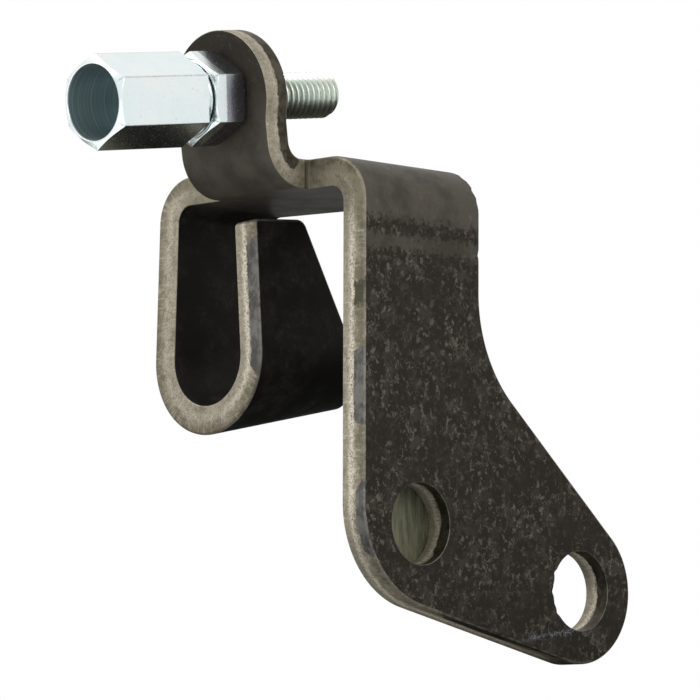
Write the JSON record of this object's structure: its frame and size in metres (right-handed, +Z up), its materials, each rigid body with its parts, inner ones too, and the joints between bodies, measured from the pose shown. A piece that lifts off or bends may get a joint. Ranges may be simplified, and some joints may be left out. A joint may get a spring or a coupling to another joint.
{
  "type": "cable anchor bracket",
  "caption": "Bent strip-steel bracket with a hook, a bolt-on plate and an upturned tab that carries a hollow threaded hex cable adjuster with a lock nut.",
  "frame": {"origin": "centre of the lobe's bolt hole, on the upright plate's outer face", "axes": "+Z up along the upright plate; +X is the outward normal of the plate's outer face; -Y is the side of the adjuster's barrel"},
  "size_m": [0.0517, 0.106, 0.1066],
  "materials": {
    "mill_scale_steel": "hot-rolled strip with dark mill scale and bare sheared edges",
    "pad_steel": "dull ground steel with an olive tint",
    "zinc_nut": "bright zinc plate",
    "zinc_stem": "bright zinc plate on a rolled thread",
    "zinc_barrel": "bright zinc plate"
  },
  "bodies": {
    "bracket": {"bracket": "mill_scale_steel", "backing_pad": "pad_steel"},
    "nut": {"lock_nut": "zinc_nut"},
    "stem": {"adjuster_stem": "zinc_stem"},
    "barrel": {"adjuster_barrel": "zinc_barrel"}
  },
  "joints": [
    {"name": "adjuster_travel", "type": "slide", "parent": "bracket", "child": "stem", "axis": [0, -0.9905, -0.1374], "range_m": [0, 0.02]},
    {"name": "adjuster_turn", "type": "hinge", "parent": "stem", "child": "barrel", "pos_m": [-0.0243, -0.0923, 0.07785], "axis": [0, -0.9905, -0.1374], "range_deg": [0, 5760]},
    {"name": "nut_turn", "type": "hinge", "parent": "bracket", "child": "nut", "pos_m": [-0.0243, -0.0709, 0.08082], "axis": [0, -0.9905, -0.1374], "continuous": true}
  ],
  "couplings": [
    {"joint": "adjuster_travel", "follows": "adjuster_turn", "m_per_rad": 0.00019894}
  ]
}
